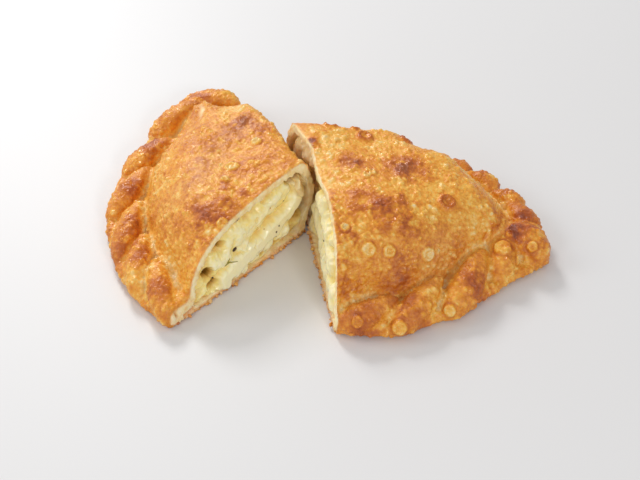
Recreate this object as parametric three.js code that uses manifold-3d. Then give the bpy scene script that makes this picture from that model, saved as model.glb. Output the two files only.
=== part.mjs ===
// An empanada cut in two and swung open: a half-moon of fried dough with a rope-crimped rim and a melted
// cheese filling that shows at both cut faces.
// Millimetres, +Z up. The part rests on z = 0, with its origin under the middle of its bounding box.

import * as THREE from "three";
import { mergeVertices } from "three/addons/utils/BufferGeometryUtils.js";
import Module from "manifold-3d";

const wasm = await Module();
wasm.setup();

// Dough
const CRUST_THICKNESS = 2.9; // rolled dough on top, after frying
const BASE_THICKNESS = 2.4; // the flat underside, pressed thinner by the filling
const DOME_HEIGHT = 32; // top of the pastry above the ground
const DOME_RUN = 27; // from the crease beside the rope up to the flat of the dome
const DOME_FULLNESS = 0.62; // under 1 swells the slope of the dome outwards
const DOME_DROP = 9; // how much lower the dome is 80 mm away from the cut
const DOME_SWELL = 0.7; // height of the gentle unevenness of the dome
const FOLD_RADIUS = 7.5; // rounding of the folded side
const FOLD_EDGE = 11; // height at which the folded side is widest
const FOLD_WALL = 2.4; // dough at the folded side
const RIM_EDGE = 2.4; // the same, for the outer edge of the rim
const RIM_HEIGHT = 5.2; // sealed flange of two dough layers under the rope
const RIM_NOSE = 4;
const BASE_ROUNDING = 5; // how far in from the edge the underside leaves the ground
const SEAL_WIDTH = 9.5; // the two layers are pressed together this far in from the rim
const PRESSED_SEAL = 6; // the same, at the cut

// Rope crimp: the rim is folded over itself in slanting rolls, each laid beside the last
const ROPE_WIDTH = 14.5;
const ROLL_HEIGHT = 1; // height of a roll, as a share of its width
const ROLL_LEVEL = 6; // the middle of a roll, above the ground
const ROLL_PITCH = 12; // slope of a roll down to its outer end, in degrees
const ROLL_TAPER = 0.12; // thinning towards the inner tip
const ROLL_BEND = 2; // bow of a roll round the rim
const PRESSED_REACH = 17; // how far along the rim from the cut the rope was pressed flat by the knife

// Filling
const FILLING_GAP = 0.4; // all round, between the cheese and the dough
const FILLING_RECESS = 1.8; // how far the body of the cheese lies behind the cut
const FILLING_BULGE = 1; // how far the lumps come out past the cut

// Each piece is drawn in a frame of its own: its origin is the corner where the cut meets the fold, +X runs
// along the cut to the rim, and the piece lies on the +Y side. The radii run from that corner to the outer
// edge of the rim, at equal angles from the cut to the end of the rim. Angles are in degrees. A hand of -1
// mirrors the piece. The cut leans in by cutLean towards its top, and starts on the ground cutOut beyond the
// corner. A cutBend is [distance along the cut, angle]: short of there the knife turned away from the piece.
// foldCorner is how far past the corner the fold runs on along the cut. ropeTaper is how much the rope
// narrows on its way from the cut to the fold. pressed is [width of the rope, height of the rim, run of the
// dome] at the cut itself. A roll of the rope is [angle of its middle, inset from the rim, length, width,
// angle to the rim]. Lumps are a count, and a pit is [distance along the cut, height, radius].
const PIECES = [
  {
    name: "left",
    hand: -1,
    corner: [-5.9, 8.4],
    cutAngle: -132.4,
    cutLean: 5.5,
    cutOut: 2.9,
    cutBend: [0, 0],
    rimRadii: [74, 75, 75.5, 77, 79, 80.5, 90, 86],
    rimSpan: 112,
    foldAngle: 113,
    foldLength: 53.5,
    foldBow: 3,
    foldCorner: 0,
    ropeTaper: 0.3,
    pressed: [10, 8.3, 44],
    rolls: [
      [7.5, 7, 30, 11, 26], [22.2, 7, 29, 10.5, 27], [38.2, 7.5, 31, 10.5, 25], [57, 7.5, 32, 10.5, 25],
      [75.2, 6.5, 29, 11, 25], [92.5, 7.5, 30, 11, 22], [107, 6, 27, 12.5, 15],
    ],
    lumps: 9,
    pits: [[6, 11, 4.5], [5, 20, 3.5], [54, 11, 3.2], [47, 21, 3]],
    seed: 11,
  },
  {
    name: "right",
    hand: 1,
    corner: [-9.6, 34],
    cutAngle: -80.2,
    cutLean: 9,
    cutOut: 0,
    cutBend: [18, 16],
    rimRadii: [86, 92, 94.5, 96.5, 99.5, 105.5, 97.5, 82.5, 65.5],
    rimSpan: 85.5,
    foldAngle: 84.5,
    foldLength: 48,
    foldBow: 0,
    foldCorner: 4,
    ropeTaper: 0.4,
    pressed: [2, 7, 48],
    rolls: [
      [6.6, 5.4, 25, 11, 22], [20.1, 6, 29, 11, 22], [34.5, 6.5, 34, 12, 22], [45.5, 9, 22, 12, 50],
      [56, 9, 22, 16, 75], [62.5, 6.5, 21, 12, 5], [69, 6.5, 18, 11, 5], [76.5, 6, 18, 10, 5],
      [84, 5.5, 15, 9, 5],
    ],
    lumps: 8,
    pits: [[12, 18, 5], [22, 22, 3.5]],
    seed: 5,
  },
];

// Fineness of the faceted surfaces
const CRUST_GRID = { columns: 92, topRings: 14, baseRings: 4 };
const HOLLOW_GRID = { columns: 60, topRings: 8, baseRings: 3 };

const clamp = THREE.MathUtils.clamp;
const lerp = THREE.MathUtils.lerp;
const turn = THREE.MathUtils.degToRad;
const polar = (radius, angle) =>
  new THREE.Vector3(radius * Math.cos(turn(angle)), radius * Math.sin(turn(angle)), 0);
// A quarter-round rise from 0 to 1, fuller than a circle.
const quarterRound = (t) => (1 - (1 - clamp(t, 0, 1)) ** 2.4) ** (1 / 2.4);
const softMin = (a, b, reach) => {
  const blend = clamp(0.5 + (b - a) / (2 * reach), 0, 1);
  return b + (a - b) * blend - reach * blend * (1 - blend);
};

function seededRandom(seed) {
  let state = seed;
  return () => {
    state = (state * 16807) % 2147483647;
    return state / 2147483647;
  };
}

// How far a point lies from a path, and at what share of the path's length.
function nearestOn(path, x, y) {
  let nearest = { distance: Infinity, share: 0 };
  for (let i = 1; i < path.length; i++) {
    const a = path[i - 1];
    const b = path[i];
    const along = ((x - a.x) * (b.x - a.x) + (y - a.y) * (b.y - a.y)) / a.distanceToSquared(b);
    const t = clamp(along, 0, 1);
    const distance = Math.hypot(x - a.x - t * (b.x - a.x), y - a.y - t * (b.y - a.y));
    if (distance < nearest.distance) nearest = { distance, share: (i - 1 + t) / (path.length - 1) };
  }
  return nearest;
}

// The plan of a piece: rim and fold as smooth curves, continued past the cut as a mirror image so that the
// cut can be taken through a whole shape.
function planOf(piece) {
  const steps = piece.rimRadii.length - 1;
  const rim = piece.rimRadii.map((radius, i) => polar(radius, (piece.rimSpan * i) / steps));
  const fold = [polar(piece.foldLength, piece.foldAngle), polar(piece.foldLength / 2, piece.foldAngle)];
  fold[1].add(polar(piece.foldBow, piece.foldAngle + 90));
  const half = [...rim, ...fold, new THREE.Vector3(-piece.foldCorner, 0, 0)];
  const mirrored = half.slice(1, -1).reverse().map((p) => new THREE.Vector3(p.x, -p.y, 0));
  const outline = new THREE.CatmullRomCurve3([...half, ...mirrored], true, "centripetal");
  const knots = half.length + mirrored.length;
  const stretch = (from, to, count) => {
    const at = (i) => (from + ((to - from) * i) / count) / knots;
    return Array.from({ length: count + 1 }, (_, i) => outline.getPoint(at(i)));
  };
  const rimPath = stretch(0, steps + 0.5, 140);
  return {
    outline,
    ropeTaper: piece.ropeTaper,
    pressed: piece.pressed,
    middle: new THREE.Vector3(piece.rimRadii[0] / 2, 0, 0),
    rim: rimPath,
    rimLength: rimPath.slice(1).reduce((sum, p, i) => sum + p.distanceTo(rimPath[i]), 0),
    fold: stretch(steps + 0.5, half.length - 1, 60),
  };
}

// Heights of the dough over a point of the plan. A wall draws the folded side in by that much.
function doughOver(plan, x, y, foldWall = 0) {
  const { distance: rim, share } = nearestOn(plan.rim, x, Math.abs(y));
  const fold = nearestOn(plan.fold, x, Math.abs(y)).distance - foldWall;
  const pressing = clamp(1 - (share * plan.rimLength) / PRESSED_REACH, 0, 1) ** 2;
  const [pressedRope, pressedRim, pressedRun] = plan.pressed;
  const narrowing = 1 - plan.ropeTaper * share ** 3;
  const rope = lerp(ROPE_WIDTH * narrowing, pressedRope, pressing);
  const run = lerp(DOME_RUN * narrowing, pressedRun, pressing);
  const height = lerp(RIM_HEIGHT, pressedRim, pressing);
  const inward = clamp(rim / 30, 0, 1);
  const edge = RIM_EDGE + (FOLD_EDGE - RIM_EDGE) * inward * inward * (3 - 2 * inward);
  const lip = RIM_EDGE + (height - RIM_EDGE) * quarterRound(rim / RIM_NOSE);
  const climb = clamp((rim - rope) / run, 0, 1) ** DOME_FULLNESS;
  const swell = DOME_SWELL * climb * (Math.sin(x / 7 + y / 11) + Math.sin(y / 6 - x / 13 + 1));
  const crown = DOME_HEIGHT - DOME_DROP * (y / 80) ** 2;
  const dome = lip + (crown - height) * Math.sin((Math.PI / 2) * climb) + swell;
  const wall = edge + (crown + 1 - edge) * quarterRound(fold / FOLD_RADIUS);
  return {
    rim,
    fold,
    seal: lerp(SEAL_WIDTH, PRESSED_SEAL, pressing),
    top: softMin(dome, wall, 2),
    base: edge * (1 - quarterRound(Math.min(rim, fold) / BASE_ROUNDING)),
  };
}

// Heights of the hollow inside the dough, whose skin is measured square to the surface, and in the plan at
// the folded side.
function hollowOver(plan, x, y) {
  const step = 0.5;
  const over = (alongX, alongY) => doughOver(plan, x + alongX, y + alongY, FOLD_WALL);
  const here = over(0, 0);
  const slopeX = (over(step, 0).top - over(-step, 0).top) / (2 * step);
  const slopeY = (over(0, step).top - over(0, -step).top) / (2 * step);
  const steepest = lerp(3, 1, clamp(0.5 + (here.rim - here.fold) / 10, 0, 1));
  const steepness = Math.min(Math.hypot(1, slopeX, slopeY), steepest);
  const sealed = RIM_HEIGHT * clamp(1 - (here.rim - here.seal) / 9, 0, 2);
  return {
    top: here.top - CRUST_THICKNESS * steepness - sealed,
    base: here.base + BASE_THICKNESS,
  };
}

// A cushion between two height functions: rings run from the middle of the top out to the outline, and back
// to the middle of the base. reach is the share of the way to the outline at which the cushion ends, and gap
// draws its whole skin inwards.
function cushion(plan, heights, reach, gap, { columns, topRings, baseRings }) {
  const positions = [];
  const index = [];
  const rims = plan.outline.getSpacedPoints(columns).slice(0, columns);
  const reaches = rims.map((rim) => reach(rim));
  const addRing = (share, side) => {
    rims.forEach((rim, i) => {
      const p = plan.middle.clone().lerp(rim, share * reaches[i]);
      const { top, base } = heights(p.x, p.y);
      const height = { top: top - gap, base: base + gap, edge: (top + base) / 2 }[side];
      const out = p.clone().sub(plan.middle);
      p.addScaledVector(out, -gap / Math.max(out.length(), 4 * gap));
      positions.push(p.x, p.y, height);
    });
  };
  const share = (k, rings) => 1 - (1 - k / rings) ** 1.7;
  const middle = heights(plan.middle.x, plan.middle.y);
  positions.push(plan.middle.x, plan.middle.y, middle.top - gap);
  for (let k = 1; k < topRings; k++) addRing(share(k, topRings), "top");
  addRing(1, "edge");
  for (let k = baseRings - 1; k > 0; k--) addRing(share(k, baseRings), "base");
  positions.push(plan.middle.x, plan.middle.y, middle.base + gap);
  const rings = topRings + baseRings - 1;
  const last = 1 + rings * columns;
  for (let i = 0; i < columns; i++) {
    const next = (i + 1) % columns;
    index.push(0, 1 + i, 1 + next);
    for (let k = 0; k < rings - 1; k++) {
      const a = 1 + k * columns;
      const b = a + columns;
      index.push(a + i, b + i, b + next, a + i, b + next, a + next);
    }
    const a = 1 + (rings - 1) * columns;
    index.push(a + i, last, a + next);
  }
  const geometry = new THREE.BufferGeometry();
  geometry.setAttribute("position", new THREE.Float32BufferAttribute(positions, 3));
  geometry.setIndex(index);
  return geometry;
}

// One roll of the rope: a spindle of dough, a little fatter at its outer end and bowed round the rim.
function rollAt(plan, [angle, inset, length, width, twist]) {
  const off = (p) => Math.abs(Math.atan2(p.y, p.x) - turn(angle));
  const place = plan.rim.reduce((best, p, i) => (off(p) < off(plan.rim[best]) ? i : best), 0);
  const before = plan.rim[Math.max(place - 1, 0)];
  const after = plan.rim[Math.min(place + 1, plan.rim.length - 1)];
  const along = before.clone().sub(after).normalize();
  const outward = new THREE.Vector3(-along.y, along.x, 0);
  if (outward.dot(plan.rim[place].clone().sub(plan.middle)) < 0) outward.negate();
  const roll = new THREE.SphereGeometry(1, 14, 10).rotateZ(Math.PI / 2);
  const p = roll.attributes.position;
  for (let i = 0; i < p.count; i++) {
    const x = p.getX(i);
    const fat = ((1 + ROLL_TAPER * x) * width) / 2;
    p.setXYZ(i, (x * length) / 2, p.getY(i) * fat - ROLL_BEND * x * x, p.getZ(i) * fat * ROLL_HEIGHT);
  }
  const forward = along.multiplyScalar(Math.cos(turn(twist))).addScaledVector(outward, Math.sin(turn(twist)));
  forward.multiplyScalar(Math.cos(turn(ROLL_PITCH))).setZ(-Math.sin(turn(ROLL_PITCH)));
  const side = new THREE.Vector3(0, 0, 1).cross(forward).normalize();
  const frame = new THREE.Matrix4().makeBasis(forward, side, forward.clone().cross(side));
  const centre = plan.rim[place].clone().addScaledVector(outward, -inset).setZ(ROLL_LEVEL);
  return roll.applyMatrix4(frame).translate(centre.x, centre.y, centre.z);
}

const ball = (radius, depth, x, y, z) =>
  new THREE.SphereGeometry(radius, 12, 8).scale(1.25, depth, 0.9).translate(x, y, z);

// A block that keeps what lies behind the cut, a given depth behind it, and above the ground.
function behindCut(piece, depth) {
  const [bendAt, bend] = piece.cutBend;
  const lean = -turn(piece.cutLean);
  const block = new THREE.BoxGeometry(400, 400, 400).translate(0, 200 + depth - piece.cutOut, 0);
  const beyond = block.clone().rotateX(lean).translate(-bendAt, 0, 0).rotateZ(turn(bend));
  const room = new THREE.BoxGeometry(400, 400, 400).translate(0, 0, 200);
  beyond.translate(bendAt, 0, 0);
  return solid(block.rotateX(lean)).add(solid(beyond)).intersect(solid(room));
}

function solid(geometry) {
  const bare = geometry.clone();
  bare.deleteAttribute("normal");
  bare.deleteAttribute("uv");
  const merged = mergeVertices(bare, 1e-4);
  return new wasm.Manifold(
    new wasm.Mesh({
      numProp: 3,
      vertProperties: new Float32Array(merged.attributes.position.array),
      triVerts: new Uint32Array(merged.index.array),
    }),
  );
}

// The main skin of a body, without specks of a gap left where round shapes meet.
const mainSkin = (body) => body.decompose().reduce((a, b) => (b.volume() > a.volume() ? b : a));

function meshOf(body, name, material) {
  const { vertProperties, triVerts } = mainSkin(body).getMesh();
  const geometry = new THREE.BufferGeometry();
  geometry.setAttribute("position", new THREE.BufferAttribute(new Float32Array(vertProperties), 3));
  geometry.setIndex(new THREE.BufferAttribute(new Uint32Array(triVerts), 1));
  geometry.computeVertexNormals();
  const mesh = new THREE.Mesh(geometry, material);
  mesh.name = name;
  return mesh;
}

function hollow(plan, gap) {
  const heights = (x, y) => hollowOver(plan, x, y);
  // The hollow ends where its roof first comes down to its floor.
  const reach = (rim) => {
    const open = (share) => {
      const p = plan.middle.clone().lerp(rim, share);
      const { top, base } = heights(p.x, p.y);
      return top > base + 0.1;
    };
    let share = 0.3;
    while (open(share + 0.004)) share += 0.004;
    return share;
  };
  return solid(cushion(plan, heights, reach, gap, HOLLOW_GRID));
}

function crustOf(piece, plan) {
  const heights = (x, y) => doughOver(plan, x, y);
  let body = solid(cushion(plan, heights, () => 1, 0, CRUST_GRID));
  for (const roll of piece.rolls) body = body.add(solid(rollAt(plan, roll)));
  return body.subtract(hollow(plan, 0)).intersect(behindCut(piece, 0));
}

// The cheese fills the hollow up to a little behind the cut, where lumps bulge out of it between open pits.
function fillingOf(piece, plan) {
  const room = hollow(plan, FILLING_GAP);
  let body = room.intersect(behindCut(piece, FILLING_RECESS));
  const random = seededRandom(piece.seed * 7);
  const reach = piece.rimRadii[0] - ROPE_WIDTH;
  for (let i = 0; i < piece.lumps; i++) {
    const along = 9 + (reach - 12) * ((i + random()) / piece.lumps);
    const { top, base } = hollowOver(plan, along, 0);
    const radius = 5 + 5 * random();
    const height = base + (top - base) * (i % 2 ? 0.2 + 0.2 * random() : 0.5 + 0.25 * random());
    const face = height * Math.tan(turn(piece.cutLean)) - piece.cutOut;
    body = body.add(solid(ball(radius, 1, along, face + radius - FILLING_BULGE * random(), height)));
  }
  for (const [along, height, radius] of piece.pits) {
    const face = height * Math.tan(turn(piece.cutLean)) - piece.cutOut;
    body = body.subtract(solid(ball(radius, 1.8, along, face - radius * 0.6, height)));
  }
  return body.intersect(room);
}

const root = new THREE.Group();
for (const piece of PIECES) {
  const plan = planOf(piece);
  const crust = new THREE.MeshStandardMaterial({ color: "#c98a3c", roughness: 0.55, metalness: 0 });
  const cheese = new THREE.MeshStandardMaterial({ color: "#e9dc9c", roughness: 0.35, metalness: 0 });
  const placed = new THREE.Group();
  placed.add(meshOf(crustOf(piece, plan), `crust_${piece.name}`, crust));
  placed.add(meshOf(fillingOf(piece, plan), `filling_${piece.name}`, cheese));
  placed.scale.y = piece.hand;
  placed.rotation.z = turn(piece.cutAngle);
  placed.position.set(...piece.corner, 0);
  root.add(placed);
}

const extent = new THREE.Box3().setFromObject(root, true);
const middle = extent.getCenter(new THREE.Vector3());
root.position.set(-middle.x, -middle.y, -extent.min.z);

export default root;
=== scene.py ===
import math

import bmesh
import bpy
import numpy as np
from mathutils import Matrix, Vector, kdtree, noise
from mathutils.bvhtree import BVHTree


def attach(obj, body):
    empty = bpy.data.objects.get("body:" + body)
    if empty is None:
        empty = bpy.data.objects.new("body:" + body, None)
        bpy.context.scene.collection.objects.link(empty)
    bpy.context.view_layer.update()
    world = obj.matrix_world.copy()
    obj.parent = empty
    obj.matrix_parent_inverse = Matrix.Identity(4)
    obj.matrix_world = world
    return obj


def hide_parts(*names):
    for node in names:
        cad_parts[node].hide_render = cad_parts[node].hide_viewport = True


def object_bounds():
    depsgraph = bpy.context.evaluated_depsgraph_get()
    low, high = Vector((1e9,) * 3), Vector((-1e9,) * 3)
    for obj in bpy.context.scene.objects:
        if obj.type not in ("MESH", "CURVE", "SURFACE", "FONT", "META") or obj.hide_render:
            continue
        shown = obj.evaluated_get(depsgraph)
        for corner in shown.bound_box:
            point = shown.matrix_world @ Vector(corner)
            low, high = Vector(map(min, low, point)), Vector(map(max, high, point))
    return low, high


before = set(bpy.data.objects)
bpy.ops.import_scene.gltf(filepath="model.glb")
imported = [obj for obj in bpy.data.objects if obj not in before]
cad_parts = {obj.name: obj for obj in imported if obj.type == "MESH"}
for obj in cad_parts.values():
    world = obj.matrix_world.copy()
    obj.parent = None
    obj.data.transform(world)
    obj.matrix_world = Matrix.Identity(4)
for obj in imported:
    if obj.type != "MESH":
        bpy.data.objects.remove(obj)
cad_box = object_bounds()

# Crusts
# Each half keeps its own crust: a thin round of wheat dough folded over the filling, its rim twisted into a
# rope, and the whole fried until the skin blistered and browned. The knife left the pale crumb open.
MM = 0.001
SKIN_SPACING = 0.86  # between the points of a crust's skin before it is refined, in millimetres
CUT_REACH = 4.0      # how far behind the cut the filling is looked for
OUTER_SIDE = 1.4     # further from the filling than this, the skin is the outer one
INNER_SIDE = 1.2     # nearer to the filling than this, it is the inner one
CUT_EDGE = 1.0       # nearer to the cut than this, it belongs to the cut
UNDERSIDE = 0.8      # lower than this, skin that faces down lies on the table
PROUD_ROOM = 0.9     # how far bubbles may stand above the solids
SPARE_SHARE = 0.08   # the share of the faces that is kept where they never show
DOME_PASSES = 200    # how often neighbours are averaged to smooth the dome
ROLL_PASSES = 14     # and how often to smooth the rolls
# Where each cut starts at the fold, in millimetres, and its direction to the rim, in degrees.
CUTS = {"left": ((-7.57, -8.61), -132.4), "right": ((-11.27, 16.99), -80.2)}


def with_modifier(skin, kind, settings, group=None):
    """Passes a bmesh through one modifier, which may act on a group of its points only."""
    raw = bpy.data.meshes.new("raw_skin")
    skin.to_mesh(raw)
    holder = bpy.data.objects.new("raw_skin", raw)
    bpy.context.scene.collection.objects.link(holder)
    step = holder.modifiers.new("step", kind)
    for key, value in settings.items():
        setattr(step, key, value)
    if group is not None:
        holder.vertex_groups.new(name="chosen").add([int(i) for i in group], 1.0, "REPLACE")
        step.vertex_group = "chosen"
    ready = holder.evaluated_get(bpy.context.evaluated_depsgraph_get())
    changed = bpy.data.meshes.new_from_object(ready)
    skin.clear()
    skin.from_mesh(changed)
    bpy.data.objects.remove(holder)
    bpy.data.meshes.remove(raw)
    bpy.data.meshes.remove(changed)


def even_skin(node, spacing):
    """One closed skin of evenly spaced faces over a CAD solid."""
    skin = bmesh.new()
    skin.from_mesh(node.data)
    bmesh.ops.remove_doubles(skin, verts=skin.verts, dist=1e-6)
    with_modifier(skin, "REMESH", {"mode": "VOXEL", "voxel_size": spacing * MM, "adaptivity": 0.0})
    return skin


def thin_out(skin, spare):
    """Leaves few faces where the skin never shows."""
    kept = 1.0 - (1.0 - SPARE_SHARE) * np.mean(spare)
    with_modifier(skin, "DECIMATE", {"ratio": kept}, np.flatnonzero(spare))


def places(skin):
    """The points of a skin in millimetres, and their normals."""
    skin.normal_update()
    skin.verts.index_update()
    return np.array([v.co for v in skin.verts]) / MM, np.array([v.normal for v in skin.verts])


def put_back(skin, place):
    """Moves the points of a skin."""
    for v, p in zip(skin.verts, place * MM):
        v.co = p


def smoothed(skin, passes):
    """Evens out a skin."""
    for _ in range(passes):
        bmesh.ops.smooth_vert(
            skin, verts=skin.verts, factor=0.5, use_axis_x=True, use_axis_y=True, use_axis_z=True)


def solid_tree(node):
    """A search tree over a CAD solid."""
    return BVHTree.FromPolygons(
        [v.co.copy() for v in node.data.vertices],
        [tuple(p.vertices) for p in node.data.polygons],
    )


def cut_planes(node):
    """The flat faces that the knife left: a point of each and its outward direction."""
    areas, points = {}, {}
    for face in node.data.polygons:
        if abs(face.normal.z) < 0.6:
            key = tuple(round(c, 2) for c in face.normal)
            areas[key] = areas.get(key, 0.0) + face.area
            points[key] = face.center.copy()
    planes = []
    for key in sorted(areas, key=areas.get, reverse=True):
        out = Vector(key).normalized()
        turned = out.angle(planes[0][1]) if planes else math.radians(15.0)
        if areas[key] > 8e-5 and math.radians(8.0) < turned < math.radians(30.0):
            planes.append((points[key], out))
    return [(np.array(point) / MM, np.array(out)) for point, out in planes]


def behind_cut(place, planes):
    """How far each point lies behind the cut, and which way is out of the cut there."""
    depths = np.array([(point - place) @ out for point, out in planes])
    return depths.max(axis=0), np.array([out for _, out in planes])[depths.argmax(axis=0)]


def along_cut(place, side):
    """How far along the cut each point lies, from the fold."""
    (x, y), angle = CUTS[side]
    angle = math.radians(angle)
    return (place[:, 0] - x) * math.cos(angle) + (place[:, 1] - y) * math.sin(angle)


def from_line(along, height, start, end):
    """Distance of places on the cut from a straight line between two of them."""
    (s0, z0), (s1, z1) = start, end
    x, y = along - s0, height - z0
    t = np.clip((x * (s1 - s0) + y * (z1 - z0)) / ((s1 - s0) ** 2 + (z1 - z0) ** 2), 0.0, 1.0)
    return np.hypot(x - t * (s1 - s0), y - t * (z1 - z0))


def drift(points, size, seed, octaves=3):
    """A soft random field, about -1 to 1, whose forms have the given size in millimetres."""
    shift = Vector((seed * 17.3, seed * 5.9, seed * 11.1))
    return np.array([noise.fractal(Vector(p) + shift, 1.0, 2.0, octaves) for p in points / np.array(size)])


def relaxed(values, edges, passes):
    """Values on the skin after neighbours have been averaged many times over."""
    a, b = edges.T
    count = np.bincount(edges.ravel(), minlength=len(values))
    joined, share = count > 0, np.maximum(count, 1)
    flat = values.reshape(len(values), -1).copy()
    for _ in range(passes):
        for column in flat.T:
            near = np.bincount(a, column[b], len(values)) + np.bincount(b, column[a], len(values))
            column[:] = np.where(joined, 0.5 * column + 0.5 * near / share, column)
    return flat.reshape(values.shape)


def ease(values, low, high):
    """0 below low, 1 above high and a smooth step between."""
    t = np.clip((values - low) / (high - low), 0.0, 1.0)
    return t * t * (3.0 - 2.0 * t)


# How the dough sprang open at the cut: it moved ahead along the cut or out of it, less and less between two
# places along the cut, more and more between two heights, and not at all from some depth behind the cut. The
# fold of the left half ran on past its corner, and the roof of the right half stands out.
SPRUNG = {
    "left": dict(ahead=-4.4, out=0.0, along=(2.0, 36.0), height=(5.0, 18.0), depth=24.0),
    "right": dict(ahead=0.0, out=1.6, along=(30.0, 50.0), height=(8.0, 27.0), depth=16.0),
}


def sprung(place, side, behind, out):
    """Points of a half moved by as much as its dough sprang open at the cut."""
    spec = SPRUNG[side]
    angle = math.radians(CUTS[side][1])
    share = (1.0 - ease(along_cut(place, side), *spec["along"])) * ease(place[:, 2], *spec["height"])
    share *= 1.0 - ease(behind, 0.0, spec["depth"])
    ahead = spec["ahead"] * np.array([math.cos(angle), math.sin(angle), 0.0])
    return place + share[:, None] * (ahead + spec["out"] * out)


# Rings and seared rings are blisters, [x, y, radius] in millimetres. Patches are browner and bubbly, blushes
# dull tan and golds lighter, [x, y, radius, strength]. Clusters are pale bubbles, [x, y, reach, count].
# Crowns are the browned tops of the rolls, [x, y]. A slit is where two layers of the rolled rim meet at the
# cut, [along, height, along, height]. The streaks of the dough run at an angle in degrees.
CRUSTS = {
    "left": dict(
        seed=3, base=0.36, bubbles=3400, streak=47.6, streaks=0.75, grain=0.27, pebble=0.12, wrinkle=0.08,
        rings=[(-26.3, 5.3, 2.0), (-35.1, -9.9, 2.6), (-37.3, -17.9, 1.5), (-36.9, -38.5, 2.0)],
        seared=[],
        patches=[
            (-40.6, -36.5, 7.5, 0.62), (-35.4, -29.4, 6.5, 0.6), (-44.8, -38.7, 7.0, 0.62),
            (-31.1, -26.0, 4.5, 0.6), (-37.0, -24.0, 6.0, 0.5), (-44.0, -31.0, 6.0, 0.6),
            (-31.2, 18.3, 5.5, 0.9), (-46.8, -43.0, 4.0, 0.5), (-24.3, 12.6, 3.5, 0.6),
        ],
        blushes=[
            (-31.2, 18.3, 6.0, 1.0), (-35.4, 13.9, 5.5, 0.9), (-38.9, 7.6, 5.0, 0.7), (-42.4, 1.0, 5.0, 0.7),
            (-45.3, -6.4, 5.0, 0.8), (-48.1, -13.6, 5.5, 0.8), (-51.5, -19.0, 6.0, 0.9),
            (-54.8, -22.3, 5.5, 0.6), (-46.0, -27.0, 5.5, 0.3),
        ],
        golds=[(-55.0, -42.0, 9.0, 1.0), (-66.0, -8.0, 7.0, 0.5)],
        clusters=[
            (-22.0, -19.9, 2.5, 8), (-27.5, -22.7, 2.5, 7), (-19.7, -11.2, 2.0, 5), (-35.8, -26.2, 2.5, 7),
            (-30.9, -21.0, 3.0, 8), (-24.5, 19.1, 3.0, 9), (-25.5, -16.5, 2.5, 5),
        ],
        crowns=[
            (-53.3, 59.2), (-71.5, 27.2), (-76.4, 1.5), (-72.9, -18.8), (-74.6, -29.2), (-67.1, -37.2),
            (-59.1, -53.3),
        ],
        slits=[(71.0, 8.5, 70.2, 3.8), (66.8, 2.4, 62.0, 3.0)],
    ),
    "right": dict(
        seed=8, base=0.35, bubbles=4200, streak=20.0, streaks=0.25, grain=0.19, pebble=0.22, wrinkle=0.0,
        rings=[
            (15.9, -46.7, 2.4), (23.3, -46.1, 2.2), (37.7, -42.9, 2.6), (15.6, -15.6, 1.5),
            (17.9, -14.4, 1.4), (16.2, -12.9, 1.1), (7.3, -40.3, 1.6), (26.6, -68.5, 2.4),
            (66.4, -34.0, 2.8), (11.7, -68.2, 1.9), (45.0, -60.1, 1.9), (77.8, -32.0, 1.8),
            (72.0, -36.0, 1.6), (70.0, -27.0, 1.5),
        ],
        seared=[
            (15.8, 10.3, 3.0), (45.5, -23.8, 3.2), (2.7, 16.0, 2.7), (12.0, 15.6, 2.0), (32.0, 12.5, 3.1),
        ],
        patches=[
            (30.0, -9.5, 6.2, 1.15), (12.5, -29.6, 5.0, 1.2), (21.9, -32.1, 6.4, 1.1),
            (28.3, -48.6, 5.0, 0.55), (10.4, -7.7, 3.8, 1.0), (8.3, -43.2, 4.0, 0.7),
            (30.2, -36.2, 4.5, 1.0), (6.0, -55.0, 5.0, 0.6), (2.7, -29.1, 4.0, 0.5),
            (-3.6, 3.4, 2.2, 2.4), (27.0, -28.0, 6.0, 0.8), (72.0, -24.0, 11.0, 0.6),
        ],
        blushes=[
            (30.0, -9.5, 4.5, 0.7), (27.5, -49.0, 4.0, 0.3), (44.4, -40.9, 6.0, 0.8), (37.9, -47.4, 6.0, 0.7),
            (27.4, -52.7, 5.0, 0.4), (19.7, -60.0, 4.0, 0.8), (50.3, -36.1, 5.0, 0.5), (10.4, -7.7, 3.4, 0.6),
        ],
        golds=[(52.0, -25.0, 11.0, 1.0), (42.0, -30.0, 7.0, 0.5)],
        clusters=[
            (16.2, -14.4, 3.5, 16), (8.7, -19.7, 3.0, 12), (4.0, -3.6, 3.0, 10), (0.2, -0.9, 2.5, 8),
            (29.0, 8.6, 3.0, 12), (3.8, -29.1, 2.5, 8), (19.3, -22.9, 3.0, 10), (10.2, -43.4, 3.0, 8),
            (12.7, -39.9, 3.0, 8), (42.2, -10.0, 3.0, 10), (38.6, -34.0, 2.5, 7), (20.8, 5.3, 3.0, 9),
            (18.1, -43.2, 2.5, 6), (4.8, -34.6, 2.5, 8), (5.4, -55.1, 3.0, 8), (45.0, -18.6, 3.0, 9),
        ],
        crowns=[
            (13.9, -66.5), (30.4, -61.4), (52.9, -48.3), (55.0, -50.8), (66.6, -13.1), (71.3, -27.0),
            (70.5, 0.3), (75.7, -16.6), (62.0, 14.0), (50.0, 22.0),
        ],
        slits=[(82.0, 5.5, 79.0, 3.0)],
    ),
}
CROWN_REACH = 4.8
SLIT_WIDTH, SLIT_DEPTH = 0.5, 1.2
# The least radius of a bubble and how much more the largest has, anywhere on the skin and in a cluster.
BUBBLE_RADIUS, BUBBLE_MORE = 0.5, 1.25
CLUSTER_RADIUS, CLUSTER_MORE = 0.55, 0.8
BLISTER_HEIGHT = 0.9
# The floor of a blister, as a share of its height, and how much browner its rim, floor and halo are, or paler
# below 0.
RING_LOOK = (0.45, -0.20, -0.14, 0.09)
SEARED_LOOK = (0.1, 0.26, 0.14, 0.04)
# How high each kind of relief stands, in millimetres.
RELIEF = dict(broad=0.3, middle=0.22, streak=0.10, bubbly=0.35, roll=0.9, patch=0.6)
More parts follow.
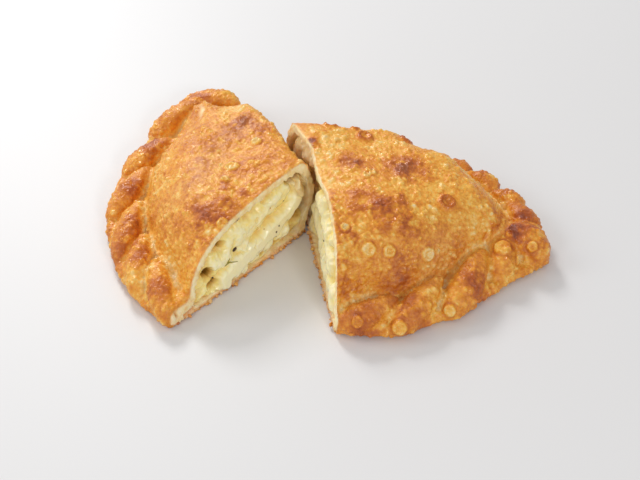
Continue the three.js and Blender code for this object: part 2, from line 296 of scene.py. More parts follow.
# How much each thing counts in the browning of the skin, from 0 for raw dough to 1 for nearly burnt. Pebbles,
# creases and golds make it paler. Grain makes its raised points paler and its pits browner, as painted light
# and painted shade, and the cut is as brown as given.
TOAST = dict(
    broad=0.12, middle=0.09, streak=0.08, crack=0.05, grain=0.10, pebble=0.10, roll=0.06, crown=0.26,
    crease=0.27, patch=0.38, blush=0.19, gold=0.09, cut=0.50,
)


def cut_fields(place, planes, core):
    """Depth behind the cut, way out of it, distance from the filling and way to it."""
    behind, out = behind_cut(place, planes)
    probe = place - out * np.maximum(0.0, CUT_REACH - behind)[:, None]
    found = [core.find_nearest(Vector(p)) for p in probe * MM]
    away = np.array([f[3] for f in found]) / MM
    inward = np.array([f[0] for f in found]) / MM - probe
    return behind, out, away, inward / np.maximum(away, 1e-3)[:, None]


def fine_skin(node, planes, core):
    """The skin of a crust, with few faces on the inside and underside and fine ones elsewhere."""
    skin = even_skin(node, SKIN_SPACING)
    for thinning in (True, False):
        place, normal = places(skin)
        behind, _, away, _ = cut_fields(place, planes, core)
        under = (place[:, 2] < UNDERSIDE) & (normal[:, 2] < -0.7)
        if thinning:
            thin_out(skin, ((away < INNER_SIDE) | under) & (behind > 2.0))
        else:
            fine = ((away > OUTER_SIDE) | (behind < CUT_EDGE)) & ~under
            outside = [e for e in skin.edges if fine[e.verts[0].index] and fine[e.verts[1].index]]
            bmesh.ops.subdivide_edges(skin, edges=outside, cuts=1, use_grid_fill=True)
    smoothed(skin, 3)
    return skin


def ease_facets(skin, edges, place, normal, behind, out, away):
    """Smooths the facets of the solid away and keeps its rolls. Gives how far each point was a ridge."""
    facing = np.einsum("ij,ij->i", normal, out)
    top = (away > OUTER_SIDE) & ((behind > CUT_EDGE) | (facing < 0.5))
    top_edges = edges[top[edges].all(axis=1)]
    eased = relaxed(place, top_edges, DOME_PASSES)
    ridge = np.einsum("ij,ij->i", place - eased, normal)
    dome = relaxed(1.0 - ease(relaxed(np.abs(ridge), top_edges, 25), 0.22, 0.5), top_edges, 15)
    eased = 2.0 * eased - relaxed(eased, top_edges, DOME_PASSES)
    softer = relaxed(place, top_edges, ROLL_PASSES)
    softer = 2.0 * softer - relaxed(softer, top_edges, ROLL_PASSES)
    place += (top * ease(behind, 0.4, 2.0))[:, None] * (softer + dome[:, None] * (eased - softer) - place)
    put_back(skin, place)
    return ridge


def spread(place, spots):
    """How strongly the nearest of some spots of the plan reaches each point."""
    field = np.zeros(len(place))
    for x, y, radius, strength in spots:
        gap = np.hypot(place[:, 0] - x, place[:, 1] - y) / radius
        field = np.maximum(field, strength * np.exp(-gap ** 2 * 0.9))
    return field


def risen(skin, place, spec, rng, outer, bubbly):
    """How far bubbles and blisters lift each point of a skin, how pale they are and how seared."""
    lift = np.zeros(len(place))
    pale = np.zeros(len(place))
    sear = np.zeros(len(place))
    finder = kdtree.KDTree(len(place))
    for i, p in enumerate(place):
        finder.insert(p, i)
    finder.balance()
    tree = BVHTree.FromBMesh(skin)

    def bubble(centre, radius, height, pallor):
        """A small closed bubble in the skin."""
        for _, i, gap in finder.find_range(centre, radius):
            swell = (1.0 - (gap / radius) ** 2) ** 2
            lift[i] = max(lift[i], height * swell)
            if abs(pallor) * swell > abs(pale[i]):
                pale[i] = pallor * swell

    def blister(centre, radius, floor, rim_tone, floor_tone, halo_tone):
        """A large bubble that sank in the middle: an uneven raised rim round a lumpy floor."""
        for spot, i, gap in finder.find_range(centre, radius * 1.7):
            t = gap / radius * (1.0 + 0.08 * noise.noise(spot * 0.55))
            broken = 1.0 + 0.7 * noise.noise(spot * 0.8 + Vector((9.0, 0.0, 0.0)))
            rim = math.exp(-((t - 0.78) / 0.29) ** 2) * min(1.2, broken)
            sunk = 1.0 / (1.0 + math.exp((t - 0.6) / 0.1))
            halo = math.exp(-((t - 1.25) / 0.2) ** 2)
            lumpy = noise.noise(spot * 1.5)
            lift[i] = BLISTER_HEIGHT * (rim + sunk * (floor + 0.6 * lumpy) - 0.12 * halo)
            pale[i] = 0.0
            sear[i] += rim_tone * rim + floor_tone * sunk * (1.0 - 0.9 * lumpy) + halo_tone * halo

    def drop(x, y):
        """The point of the skin under a place in the plan."""
        return np.array(tree.ray_cast(Vector((x, y, 100.0)) * MM, Vector((0, 0, -1)))[0]) / MM

    spots = np.flatnonzero(outer > 0.8)
    chance = np.clip(bubbly, 0.03, None)[spots]
    for i in rng.choice(spots, spec["bubbles"], replace=False, p=chance / chance.sum()):
        radius = BUBBLE_RADIUS + BUBBLE_MORE * rng.random() ** 3
        pallor = rng.normal(0.02, 0.05) + 0.11 * (radius - BUBBLE_RADIUS)
        bubble(place[i], radius, radius * (0.2 + 0.4 * rng.random()), pallor)
    for x, y, reach, count in spec["clusters"]:
        for dx, dy in rng.normal(0.0, 0.5 * reach, (count, 2)):
            radius = CLUSTER_RADIUS + CLUSTER_MORE * rng.random()
            bubble(drop(x + dx, y + dy), radius, 0.45 * radius, 0.13 + 0.1 * rng.random())
    for x, y, radius in spec["rings"]:
        blister(drop(x, y), radius, *RING_LOOK)
    for x, y, radius in spec["seared"]:
        blister(drop(x, y), radius, *SEARED_LOOK)
    return lift, pale, sear


def piece_of(skin, name, finish, looks=None):
    """A piece made of a skin, with what its material has to know at each point."""
    mesh = bpy.data.meshes.new(name)
    skin.to_mesh(mesh)
    skin.free()
    for look, values in (looks or {}).items():
        mesh.attributes.new(look, "FLOAT", "POINT").data.foreach_set("value", values.astype(np.float32))
    mesh.shade_smooth()
    mesh.materials.append(finish)
    piece = bpy.data.objects.new(name, mesh)
    bpy.context.scene.collection.objects.link(piece)
    return piece


def crust_skin(side):
    """The browned, blistered skin of one half."""
    spec = CRUSTS[side]
    seed = spec["seed"]
    rng = np.random.default_rng(seed)
    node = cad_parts["crust_" + side]
    core = solid_tree(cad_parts["filling_" + side])
    planes = cut_planes(node)
    skin = fine_skin(node, planes, core)
    place, normal = places(skin)
    behind, out, away, inward = cut_fields(place, planes, core)
    edges = np.array([[e.verts[0].index, e.verts[1].index] for e in skin.edges])
    ridge = ease_facets(skin, edges, place, normal, behind, out, away)
    place, normal = places(skin)

    # Where the outer skin, the open cut, the rope and what is near the table are, each from 0 to 1.
    shell = ease(away, 1.2, 2.2)
    open_cut = (1.0 - ease(behind, 0.3, 0.8)) * ease(np.einsum("ij,ij->i", normal, out), 0.35, 0.75)
    rope = ease(away, 4.2, 7.5)
    low = 1.0 - ease(place[:, 2], 0.3, 1.6)
    outer = shell * (1.0 - open_cut) * (1.0 - low)

    # The uneven dough: broad swells, small lumps, grain, streaks and pebbled stretches.
    broad = drift(place, 15.0, seed)
    middle = drift(place, 4.5, seed + 1, 4)
    grain = drift(place, 1.2, seed + 2, 2)
    angle = math.radians(spec["streak"])
    c, s = math.cos(angle), math.sin(angle)
    turned = place @ np.array([[c, -s, 0], [s, c, 0], [0, 0, 1]])
    streak = spec["streaks"] * drift(turned, (9.0, 1.8, 1.8), seed + 3, 3)
    crack = ease(-np.abs(streak), -0.16, 0.0)
    pebble = np.abs(drift(place, 2.4, seed + 6, 2)) - 0.3
    pebble *= 0.25 + 0.95 * ease(drift(place, 9.0, seed + 7, 2), -0.25, 0.45)
    patch = spread(place, spec["patches"]) * np.clip(0.8 + 0.8 * middle, 0.0, 1.3)
    blush = spread(place, spec["blushes"]) * np.clip(0.8 + 0.5 * middle + 0.3 * streak, 0.0, 1.2)
    browned = spread(place, [(x, y, CROWN_REACH, 1.0) for x, y in spec["crowns"]])
    bubbly = 0.25 + 0.45 * rope + 0.6 * patch + 1.1 * drift(place, 11.0, seed + 4)
    lift, pale, sear = risen(skin, place, spec, rng, outer, bubbly)

    # The outer skin rises and sinks.
    relief = RELIEF["broad"] * broad + RELIEF["middle"] * middle + RELIEF["streak"] * streak
    relief -= spec["wrinkle"] * crack * (0.6 + 1.2 * patch)
    relief += spec["grain"] * grain * (1.0 - 0.5 * rope) + lift
    relief += (spec["pebble"] + RELIEF["bubbly"] * patch) * pebble
    rolls = RELIEF["roll"] * rope * np.clip(ridge, -1.0, 1.0)
    relief += rolls + RELIEF["patch"] * np.clip(patch, 0.0, 1.0) ** 2 * (1.0 - rope)
    place = place + normal * (relief * outer)[:, None]

    # The cut crumbles, most of all along its lip and foot, and opens in slits between layers.
    crumbly = drift(place, 1.5, seed + 5, 3)
    lip = open_cut * (1.0 - ease(away, 0.8, 1.8))
    place += inward * ((0.3 + 0.8 * crumbly) * lip)[:, None]
    foot = open_cut * (1.0 - ease(place[:, 2], 2.0, 3.0)) * (1.0 - 0.8 * rope)
    place += out * (0.25 * crumbly * open_cut + 0.8 * foot * np.maximum(crumbly, 0.0))[:, None]
    along, height = along_cut(place, side), place[:, 2]
    slit = np.zeros(len(place))
    for s0, z0, s1, z1 in spec["slits"]:
        gap = from_line(along, height, (s0, z0), (s1, z1))
        slit = np.maximum(slit, open_cut * np.exp(-(gap / SLIT_WIDTH) ** 2))
    place -= out * (SLIT_DEPTH * slit)[:, None]
    scorched = 1.0 - ease(place[:, 2] + 0.5 * crumbly, 0.6, 1.4)
    place = sprung(place, side, behind, out)
    proud = np.maximum(place[:, 2] - cad_box[1][2] / MM, 0.0)
    place[:, 2] = np.maximum(place[:, 2] - proud + PROUD_ROOM * np.tanh(proud / PROUD_ROOM), 0.0)
    put_back(skin, place)

    # The frying browned what stands out and left the creases pale.
    crown = ease(ridge, -0.2, 0.5)
    crease = relaxed(ease(-ridge, 0.2, 0.8), edges, 30)
    crease *= np.clip(0.75 + 0.9 * middle + 0.5 * broad, 0.15, 1.2)
    toast = spec["base"] + TOAST["broad"] * broad + TOAST["middle"] * middle
    streaky = TOAST["streak"] * streak + TOAST["crack"] * crack * spec["streaks"]
    # Painted shade and painted light: the skin is browner in the pits of the grain and paler on its raised
    # points.
    toast += (streaky - TOAST["grain"] * grain) * (1.0 - 0.6 * rope)
    toast -= (TOAST["pebble"] + 0.25 * spec["pebble"]) * pebble
    toast += rope * crown * (TOAST["roll"] + TOAST["crown"] * browned) * (1.0 + 0.3 * middle)
    toast -= crease * (TOAST["crease"] + 0.16 * middle)
    gold = spread(place, spec["golds"])
    toast += TOAST["patch"] * patch + TOAST["blush"] * blush - TOAST["gold"] * gold + sear - pale
    toast = toast * (1.0 - open_cut) + open_cut * (TOAST["cut"] + 0.12 * crumbly)
    crumb = np.maximum(open_cut, 1.0 - shell) * (1.0 - 0.7 * slit)
    crumb *= 1.0 - foot * (0.5 + 0.5 * scorched)
    dull = np.clip(np.maximum(blush, 0.8 * crease), 0.0, 1.0) * (1.0 - open_cut)
    sheen = np.clip(0.15 + 0.7 * ease(grain, 0.0, 0.5) + 1.1 * lift, 0.0, 1.0)

    looks = dict(toast=toast, crumb=crumb, dull=dull, sheen=sheen)
    return piece_of(skin, "crust_" + side + "_skin", fried, looks)


class Shade:
    """A shader socket that takes part in ordinary sums."""

    def __init__(self, tree, socket=None):
        self.tree, self.socket = tree, socket

    def node(self, kind, settings=None, inputs=None, output=0):
        """A new node of some kind: the Shade of one of its outputs."""
        made = self.tree.nodes.new(kind)
        for key, value in (settings or {}).items():
            if key == "stops":
                ramp = made.color_ramp.elements
                while len(ramp) < len(value):
                    ramp.new(0.5)
                for stop, (position, colour) in zip(ramp, value):
                    stop.position, stop.color = position, colour
            else:
                setattr(made, key, value)
        for key, value in (inputs or {}).items():
            if isinstance(value, Shade):
                self.tree.links.new(value.socket, made.inputs[key])
            else:
                made.inputs[key].default_value = value
        return Shade(self.tree, made.outputs[output])

    def carried(self, name):
        """A value that the mesh carries at each of its points."""
        return self.node("ShaderNodeAttribute", {"attribute_name": name}, output="Fac")

    def clouds(self, spot, scale, detail):
        """A soft random pattern from 0 to 1."""
        return self.node("ShaderNodeTexNoise", None, {"Vector": spot, "Scale": scale, "Detail": detail})

    def ramp(self, value, stops):
        """A colour that follows a value."""
        return self.node("ShaderNodeValToRGB", {"stops": stops}, {"Fac": value})

    def mix(self, share, first, second):
        """The first colour with a share of the second."""
        inputs = {"Factor": share, 6: first, 7: second}
        return self.node("ShaderNodeMix", {"data_type": "RGBA"}, inputs, output=2)

    def bump(self, strength, distance, height):
        """Fine relief that is only shaded."""
        inputs = {"Strength": strength, "Distance": distance, "Height": height}
        return self.node("ShaderNodeBump", None, inputs)

    def maths(self, operation, a, b):
        """A sum of two values, at least one of them a Shade."""
        return self.node("ShaderNodeMath", {"operation": operation}, {0: a, 1: b})

    def __add__(self, other):
        return self.maths("ADD", self, other)

    def __sub__(self, other):
        return self.maths("SUBTRACT", self, other)

    def __rsub__(self, other):
        return self.maths("SUBTRACT", other, self)

    def __mul__(self, other):
        return self.maths("MULTIPLY", self, other)

    __radd__, __rmul__ = __add__, __mul__


def tint(red, green, blue):
    """A colour given in screen values from 0 to 255, as the shader wants it."""
    levels = (red, green, blue)
    return tuple(((c / 255 + 0.055) / 1.055) ** 2.4 if c > 10 else c / 3295 for c in levels) + (1.0,)


def new_finish(name, settings):
    """A new material with some settings: the material, its nodes as a Shade, and its main shader."""
    finish = bpy.data.materials.new(name)
    finish.use_nodes = True
    surface = finish.node_tree.nodes["Principled BSDF"]
    for key, value in settings.items():
        surface.inputs[key].default_value = value
    return finish, Shade(finish.node_tree), surface


# The skin goes from straw to gold and brown as it fries, dull where it steamed, and the cut is pale crumb.
fried, start, surface = new_finish("fried_dough", {
    "Subsurface Weight": 0.12, "Subsurface Radius": (1.0, 0.45, 0.15), "Subsurface Scale": 0.0012,
    "Specular IOR Level": 0.5,
})
spot = start.node("ShaderNodeTexCoord", output="Object")
crumb = start.carried("crumb")
speckle = start.clouds(spot, 1100.0, 3.0)
smear = start.clouds(spot, 320.0, 4.0)
tone = start.carried("toast") + 0.26 * (speckle - 0.5) + 0.18 * (smear - 0.5)
skin_colour = start.ramp(tone, [
    (0.00, tint(238, 210, 160)), (0.13, tint(244, 206, 130)), (0.27, tint(244, 183, 76)),
    (0.40, tint(232, 151, 43)), (0.55, tint(206, 116, 28)), (0.72, tint(180, 89, 24)),
    (0.92, tint(136, 60, 20)),
])
crumb_colour = start.ramp(smear, [
    (0.25, tint(242, 200, 126)), (0.5, tint(253, 230, 176)), (0.75, tint(255, 244, 208)),
])
dull_colour = start.ramp(tone, [
    (0.1, tint(240, 205, 142)), (0.4, tint(222, 158, 88)), (0.7, tint(186, 110, 54)),
])
skin_colour = start.mix(0.6 * start.carried("dull"), skin_colour, dull_colour)
colour = start.mix(crumb, skin_colour, crumb_colour)
rough = 0.36 + 0.2 * smear - 0.3 * start.carried("sheen") + 0.3 * crumb
grit = start.bump(1.0, 0.00042, speckle)
for name, shade in (("Base Color", colour), ("Roughness", rough), ("Normal", grit)):
    start.tree.links.new(shade.socket, surface.inputs[name])

for side in ("left", "right"):
    crust = crust_skin(side)
    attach(crust, "root")
    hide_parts("crust_" + side)

# Fillings
# Soft white cheese that melted while the crust fried: it ran together in glossy folds that sag over the lower
# crust, held air pits, and drew out in thin curtains where the halves were pulled apart.
CHEESE_SPACING = 0.6  # between the points of the cheese before its face is refined, in millimetres
HOLLOW_DEPTH = 3.0    # how far behind the cut the face lies between the folds
FACE_DEPTH = 12.0     # how far behind the cut the face may lie at most
FOLD_BLEND = 1.8      # how softly tongues and folds run together
CURTAIN_STAND = 3.1   # how far a curtain stands out
CURTAIN_BLEND = 0.4   # how softly curtains run into the rest
MOST_PROUD = 1.2      # how far the cheese may stand out of the cut
SAG = 1.8             # how far it hangs down over the lower crust
LUMPS, CURDS, GRAINS, STRANDS = 0.45, 0.22, 0.10, 0.12  # how high each kind of unevenness stands
# A tongue is a long fold: half width, how far it stands out, and [along the cut, height] of points on its
# crest. A fold is [along, height, half length, half height, slope in degrees, how far it stands out]. A pit
# is [along, height, half length, half height, depth]. A curtain is [along, height, half length, half height].
CHEESES = {
    "left": dict(
        seed=21, reach=58.0, loose_folds=4, paleness=0.80,
        tongues=[
            (5.2, 4.8, [
                (9.4, 18.2), (14.6, 14.0), (21.9, 10.8), (28.3, 9.9), (35.1, 8.9), (40.2, 7.6), (46.0, 5.4)]),
            (6.4, 3.4, [(15.0, 24.5), (23.2, 23.0), (28.0, 20.4), (35.2, 18.8), (40.0, 19.6)]),
            (4.6, 3.8, [(42.0, 14.6), (47.5, 13.4), (50.0, 14.8)]),
        ],
        folds=[
            (8.1, 19.3, 4.5, 4.0, 0.0, 3.0), (5.4, 6.4, 4.2, 3.0, 0.0, 3.2),
            (13.4, 7.6, 4.6, 3.0, -10.0, 4.0), (22.6, 6.8, 3.6, 2.8, -20.0, 4.0),
            (31.5, 6.4, 3.4, 2.8, -20.0, 4.2), (36.0, 4.8, 3.0, 2.8, -20.0, 4.2),
            (44.2, 3.2, 4.2, 2.8, -20.0, 4.4), (55.5, 5.8, 5.4, 3.4, -30.0, 2.6),
            (57.0, 9.5, 3.0, 3.0, -40.0, 2.0), (34.0, 13.8, 4.5, 3.0, -20.0, 3.2),
            (52.0, 3.0, 3.5, 2.0, -20.0, 2.8),
        ],
        pits=[
            (45.7, 20.6, 2.0, 1.4, 4.0), (52.9, 12.3, 1.6, 2.6, 5.0), (51.8, 7.0, 3.0, 1.2, 5.0),
            (2.5, 11.4, 4.5, 2.0, 7.0), (18.6, 4.8, 2.4, 1.2, 3.5), (27.1, 4.4, 1.7, 1.2, 3.5),
            (38.6, 2.8, 2.2, 1.0, 3.0), (8.2, 27.3, 5.0, 2.0, 5.0), (28.2, 21.0, 0.7, 1.8, 1.2),
            (21.3, 26.4, 3.0, 1.4, 2.0), (36.5, 11.6, 2.0, 0.6, 1.0),
        ],
        curtains=[
            (4.0, 23.0, 1.1, 5.5), (7.4, 22.6, 1.2, 4.6), (1.2, 20.0, 1.1, 5.5), (10.5, 25.0, 0.9, 3.0),
        ],
    ),
    "right": dict(
        seed=26, reach=72.0, loose_folds=10, paleness=0.90, folds=[],
        tongues=[
            (4.6, 3.8, [(24.0, 20.0), (30.0, 14.0), (40.0, 12.0), (50.0, 9.5), (60.0, 7.0)]),
            (5.0, 3.6, [(36.0, 21.0), (45.0, 19.5), (54.0, 16.5), (62.0, 12.0)]),
            (4.2, 3.4, [(62.0, 6.0), (70.0, 6.5), (76.0, 5.0)]),
        ],
        pits=[
            (14.0, 15.0, 4.0, 2.6, 3.0), (22.0, 22.0, 2.6, 1.8, 2.0), (41.0, 8.0, 1.6, 1.2, 3.0),
            (57.0, 11.0, 1.4, 1.1, 2.5), (24.0, 19.0, 6.0, 8.0, 4.0),
        ],
        curtains=[
            (5.0, 20.0, 6.0, 8.0), (13.0, 23.0, 6.0, 6.0), (10.0, 14.0, 6.0, 6.0), (19.0, 25.0, 5.0, 4.0),
        ],
    ),
}


def merged(depth, other, soft):
    """The nearer of two depths behind the cut, run together where they are about alike."""
    share = np.clip(0.5 + (depth - other) / (2.0 * soft), 0.0, 1.0)
    return depth + (other - depth) * share - soft * share * (1.0 - share)


def cheese_skin(side):
    """The molten cheese of one half."""
    spec = CHEESES[side]
    seed = spec["seed"]
    rng = np.random.default_rng(seed)
    planes = cut_planes(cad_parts["crust_" + side])
    cheese = even_skin(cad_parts["filling_" + side], CHEESE_SPACING)
    place, normal = places(cheese)
    behind, out = behind_cut(place, planes)
    open_side = (np.einsum("ij,ij->i", normal, out) > 0.1) & (behind < FACE_DEPTH)
    front = [e for e in cheese.edges if all(open_side[v.index] for v in e.verts)]
    bmesh.ops.subdivide_edges(cheese, edges=front, cuts=1, use_grid_fill=True)
    smoothed(cheese, 3)
    place, normal = places(cheese)
    behind, out = behind_cut(place, planes)
    along, height = along_cut(place, side), place[:, 2]
    face = ease(np.einsum("ij,ij->i", normal, out), 0.08, 0.3) * (behind < FACE_DEPTH)
    swayed = along + 2.0 * drift(place, 7.0, seed + 3, 3)
    sagged = height + 1.6 * drift(place, 6.0, seed + 4, 3)

    def oval(s, z, half_length, half_height, slope=0.0):
        """Squared distance from the middle of an uneven oval on the cut, 1 at its edge."""
        c, d = math.cos(math.radians(slope)), math.sin(math.radians(slope))
        x, y = swayed - s, sagged - z
        return ((x * c + y * d) / half_length) ** 2 + ((y * c - x * d) / half_height) ** 2

    def from_crest(crest):
        """Distance on the cut from a line of points."""
        return np.min([from_line(swayed, sagged, *ends) for ends in zip(crest, crest[1:])], axis=0)

    # Tongues and folds stand out of the hollow, curtains hang before it and pits go into it.
    folds = list(spec["folds"])
    for _ in range(spec["loose_folds"]):
        size = 2.5 + 3.0 * rng.random()
        folds.append((spec["reach"] * rng.random() + 2.0, 3.0 + 25.0 * rng.random(),
                      size * 1.6, size, rng.normal(-20.0, 20.0), 2.4 + 1.2 * rng.random()))
    rises = [(stand, (from_crest(crest) / half_width) ** 2) for half_width, stand, crest in spec["tongues"]]
    rises += [(stand, oval(*shape)) for *shape, stand in folds]
    depth = HOLLOW_DEPTH + 0.5 * drift(place, 6.0, seed, 2)
    for stand, near in rises:
        depth = merged(depth, HOLLOW_DEPTH - stand * (1.0 - near), FOLD_BLEND)
    tan = np.zeros(len(place))
    for s, z, half_length, half_height in spec["curtains"]:
        near = oval(s + 0.12 * (height.mean() - z), z, half_length, half_height)
        depth = merged(depth, HOLLOW_DEPTH - CURTAIN_STAND * (1.0 - near), CURTAIN_BLEND)
        tan = np.maximum(tan, np.exp(-near * 0.5))
    for *shape, deep in spec["pits"]:
        depth += deep * (1.0 - ease(oval(*shape), 0.3, 1.3))

    # Its surface is uneven, and it hangs down where it stands out over the lower crust.
    curd = drift(place, 2.4, seed + 1, 3)
    fine = drift(place, 0.9, seed + 2, 2)
    slanted = np.stack([along + height, height - along, behind], axis=1)
    strand = drift(slanted, (1.6, 6.0, 2.0), seed + 5, 2)
    lump = drift(place, 4.6, seed + 6, 2)
    depth = depth - LUMPS * lump - CURDS * curd - GRAINS * fine - STRANDS * strand
    depth = np.maximum(depth, -MOST_PROUD)
    drape = ease(0.6 - depth, 0.0, 1.2) * (1.0 - ease(height, 3.0, 7.0)) * face
    place = place + out * ((behind - depth) * face)[:, None] + normal * (0.5 * (1.0 - face))[:, None]
    place[:, 2] -= SAG * drape
    put_back(cheese, sprung(place, side, behind, out))
    smoothed(cheese, 1)
    # Paler where curds stand out and darker the deeper the face lies behind the cut: painted light and
    # painted shade over the cheese's own creamy tone.
    paleness = np.clip(spec["paleness"] - 0.16 * depth + 0.14 * curd + 0.06 * fine, 0.0, 1.0)
    return piece_of(cheese, "filling_" + side + "_cheese", molten, dict(paleness=paleness, tan=0.85 * tan))


# The cheese is creamy, and tan in the curtains. Its colour is painted paler where it stands out and darker,
# down to olive brown, in the pits and hollows: painted light and painted shade on its relief.
molten, start, surface = new_finish("molten_cheese", {
    "Subsurface Weight": 0.35, "Subsurface Radius": (1.0, 0.85, 0.45), "Subsurface Scale": 0.002,
    "Specular IOR Level": 0.65,
})
spot = start.node("ShaderNodeTexCoord", output="Object")
cloud = start.clouds(spot, 220.0, 4.0)
curds = start.clouds(spot, 1000.0, 3.0)
# The ramp runs from the painted shade of the pits to the creamy white of what stands out.
cheese_colour_and_painted_shade = start.ramp(start.carried("paleness") + 0.35 * (cloud - 0.5), [
    (0.0, tint(142, 96, 26)), (0.2, tint(218, 173, 80)), (0.42, tint(250, 215, 128)),
    (0.64, tint(255, 230, 146)), (0.9, tint(255, 243, 198)),
])
colour = start.mix(start.carried("tan"), cheese_colour_and_painted_shade, tint(252, 228, 180))
rough = 0.06 + 0.26 * cloud
grit = start.bump(0.4, 0.0003, curds)
for name, shade in (("Base Color", colour), ("Roughness", rough), ("Normal", grit)):
    start.tree.links.new(shade.socket, surface.inputs[name])

for side in ("left", "right"):
    cheese = cheese_skin(side)
    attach(cheese, "root")
    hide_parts("filling_" + side)

# Herbs and pepper
# Chopped herbs and cracked pepper that were stirred into the cheese before the dough was folded over it. Bits
# of them stick in the melted face where the knife passed.
# A speck is [half, along the cut, height, length, width, kind]. A blade of herb is [half, along and height of
# one end, along and height of the other, width].
SPECKS = [
    ("left", 39.1, 14.8, 2.6, 2.3, "pepper"), ("left", 17.5, 13.1, 0.8, 0.7, "pepper"),
    ("left", 19.2, 11.2, 0.9, 0.8, "pepper"), ("left", 18.5, 8.0, 1.1, 1.0, "pepper"),
    ("left", 50.0, 7.7, 0.9, 0.7, "pepper"), ("left", 11.9, 20.7, 0.7, 0.6, "pepper"),
    ("left", 21.3, 18.9, 1.5, 0.8, "ochre"), ("left", 26.8, 17.4, 0.7, 0.6, "ochre"),
    ("left", 19.9, 22.6, 0.9, 0.7, "ochre"), ("left", 23.6, 14.6, 0.6, 0.5, "ochre"),
    ("right", 48.8, 12.8, 1.9, 1.2, "pepper"),
]
BLADES = [("left", 43.0, 13.9, 44.9, 11.1, 0.5), ("left", 39.8, 10.5, 45.6, 11.6, 0.55)]
BLADE_STEPS = 6
SPECK_COLOURS = {"pepper": (64, 40, 18), "ochre": (214, 170, 80), "herb": (158, 146, 56)}
CHEESE_TREES = {}
for side in ("left", "right"):
    whole = bmesh.new()
    whole.from_mesh(bpy.data.objects["filling_" + side + "_cheese"].data)
    CHEESE_TREES[side] = BVHTree.FromBMesh(whole)
    whole.free()


def on_cheese(side, s, z):
    """A point of the cheese at a place on the cut, seen square to the cut, and its normal."""
    (x, y), angle = CUTS[side]
    angle = math.radians(angle)
    out = Vector(cut_planes(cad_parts["crust_" + side])[0][1])
    start = Vector((x + s * math.cos(angle), y + s * math.sin(angle), z)) + 30.0 * out
    spot, normal = CHEESE_TREES[side].ray_cast(start * MM, -out)[:2]
    return spot / MM, normal


def facing_along(way):
    """The turn that points what stands upright along a direction."""
    return way.to_track_quat("Z", "Y").to_matrix().to_4x4()


rng = np.random.default_rng(41)
flecks = {kind: bmesh.new() for kind in SPECK_COLOURS}
for side, s, z, length, width, kind in SPECKS:
    spot, normal = on_cheese(side, s, z)
    turned = facing_along(normal) @ Matrix.Rotation(math.tau * rng.random(), 4, "Z")
    size = Matrix.Diagonal((length * MM / 2, width * MM / 2, 0.6 * width * MM / 2, 1.0))
    made = bmesh.ops.create_icosphere(
        flecks[kind], subdivisions=2, radius=1.0, matrix=Matrix.Translation(spot * MM) @ turned @ size)
    for v in made["verts"]:
        v.co += Vector(rng.normal(0.0, 0.05 * width * MM, 3))
for side, s0, z0, s1, z1, width in BLADES:
    path = [on_cheese(side, s0 + (s1 - s0) * t, z0 + (z1 - z0) * t)
            for t in np.linspace(0.0, 1.0, BLADE_STEPS + 1)]
    rings = []
    for i, (spot, normal) in enumerate(path):
        ahead = facing_along(path[min(i + 1, BLADE_STEPS)][0] - path[max(i - 1, 0)][0])
        thin = width * MM / 2 * (0.35 + 0.65 * math.sin(math.pi * i / BLADE_STEPS))
        ring = bmesh.ops.create_circle(
            flecks["herb"], cap_ends=i in (0, BLADE_STEPS), segments=6, radius=thin,
            matrix=Matrix.Translation((spot + 0.1 * normal) * MM) @ ahead)
        rings.append({e for v in ring["verts"] for e in v.link_edges})
    for near, far in zip(rings, rings[1:]):
        bmesh.ops.bridge_loops(flecks["herb"], edges=list(near | far))
for kind, heap in flecks.items():
    bmesh.ops.recalc_face_normals(heap, faces=heap.faces)
    finish, _, _ = new_finish(kind, {"Base Color": tint(*SPECK_COLOURS[kind]), "Roughness": 0.4})
    fleck = piece_of(heap, "cheese_" + kind, finish)
    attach(fleck, "root")

# Crumbs
# Bits of fried dough from the browned underside, which broke off as the knife came through and hang along the
# foot of both cuts.
CRUMB_COUNTS = {"left": 75, "right": 95}
CRUMB_RADIUS, CRUMB_MORE = 0.22, 0.75
for side in ("left", "right"):
    foot = bpy.data.objects["crust_" + side + "_skin"].data
    rng = np.random.default_rng(CRUMB_COUNTS[side])
    place = np.array([v.co for v in foot.vertices]) / MM
    behind, out = behind_cut(place, cut_planes(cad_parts["crust_" + side]))
    edge = np.flatnonzero((behind < 0.6) & (place[:, 2] < 1.5) & (along_cut(place, side) > 3.0))
    heap = bmesh.new()
    layers = {name: heap.verts.layers.float.new(name) for name in ("toast", "crumb")}
    for i in rng.choice(edge, CRUMB_COUNTS[side], replace=False):
        size = CRUMB_RADIUS + CRUMB_MORE * rng.random() ** 4
        spot = place[i] + out[i] * 0.15 * size
        spot[2] = max(spot[2], 0.8 * size)
        turned = Matrix.Rotation(math.tau * rng.random(), 4, Vector(rng.normal(0.0, 1.0, 3)))
        shape = Matrix.Diagonal((*(size * MM * (0.5 + 0.8 * rng.random(3))), 1.0))
        made = bmesh.ops.create_icosphere(
            heap, subdivisions=2, radius=1.0, matrix=Matrix.Translation(Vector(spot) * MM) @ turned @ shape)
        tone, open_crumb = rng.normal(0.42, 0.08), 0.5 * rng.random()
        for v in made["verts"]:
            v.co += Vector(rng.normal(0.0, 0.14 * size * MM, 3))
            v.co.z = max(v.co.z, 0.0)
            v[layers["toast"]], v[layers["crumb"]] = tone, open_crumb
    crumbs = piece_of(heap, "crumbs_" + side, fried)
    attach(crumbs, "root")

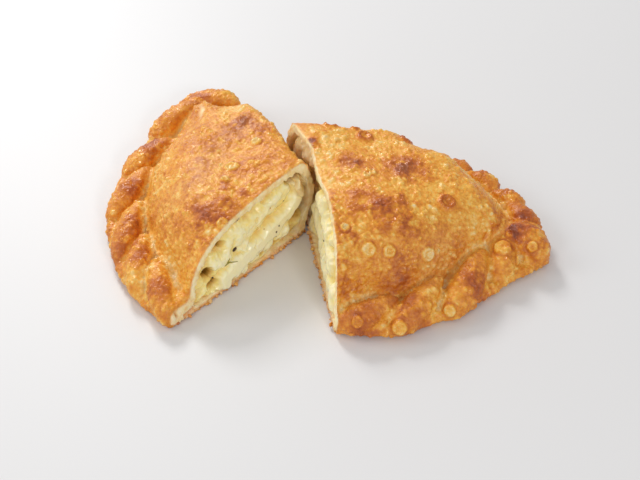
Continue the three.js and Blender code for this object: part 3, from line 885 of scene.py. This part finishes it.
# Floor, light and camera
# A plain pale floor, a soft key light behind on the left, a weaker light on the left and two weak fills in
# front, an even light all round, and the camera at the photograph's viewing angle.
FLOOR_REACH, FLOOR_COLOUR = 1.5, (226, 225, 225)
EVEN_LIGHT = 0.5
sheet = bmesh.new()
bmesh.ops.create_grid(sheet, x_segments=1, y_segments=1, size=FLOOR_REACH)
floor_mesh = bpy.data.meshes.new("floor")
sheet.to_mesh(floor_mesh)
sheet.free()
floor = bpy.data.objects.new("floor", floor_mesh)
bpy.context.scene.collection.objects.link(floor)
paint, _, _ = new_finish("pale_floor", {"Base Color": tint(*FLOOR_COLOUR), "Roughness": 0.5})
floor.data.materials.append(paint)


def soft_light(name, place, size, power):
    """A square soft light that looks at the middle of the floor."""
    lamp = bpy.data.lights.new(name, "AREA")
    lamp.shape, lamp.size, lamp.energy = "SQUARE", size, power
    holder = bpy.data.objects.new(name, lamp)
    holder.location = place
    holder.rotation_euler = (-Vector(place)).to_track_quat("-Z", "Y").to_euler()
    bpy.context.scene.collection.objects.link(holder)


soft_light("key_light", (-0.35, 0.80, 0.66), 0.26, 5.6)
soft_light("left_light", (-0.85, 0.10, 0.60), 0.45, 2.3)
soft_light("right_fill", (0.45, -0.80, 0.55), 0.2, 2.1)
soft_light("left_fill", (-0.50, -0.80, 0.55), 0.3, 1.1)
world = bpy.data.worlds.new("studio")
world.use_nodes = True
world.node_tree.nodes["Background"].inputs["Color"].default_value = (1.0, 1.0, 1.0, 1.0)
world.node_tree.nodes["Background"].inputs["Strength"].default_value = EVEN_LIGHT
bpy.context.scene.world = world

AIM = Vector((-0.001675, -0.017009, 0.0))
DISTANCE, ELEVATION = 0.4657, math.radians(43.0)
lens = bpy.data.cameras.new("camera")
lens.lens, lens.sensor_width = 67.16, 36.0
camera = bpy.data.objects.new("camera", lens)
camera.location = AIM + DISTANCE * Vector((0.0, -math.cos(ELEVATION), math.sin(ELEVATION)))
camera.rotation_euler = (math.pi / 2 - ELEVATION, 0.0, 0.0)
bpy.context.scene.collection.objects.link(camera)
bpy.context.scene.camera = camera
bpy.context.scene.view_settings.view_transform = "Standard"
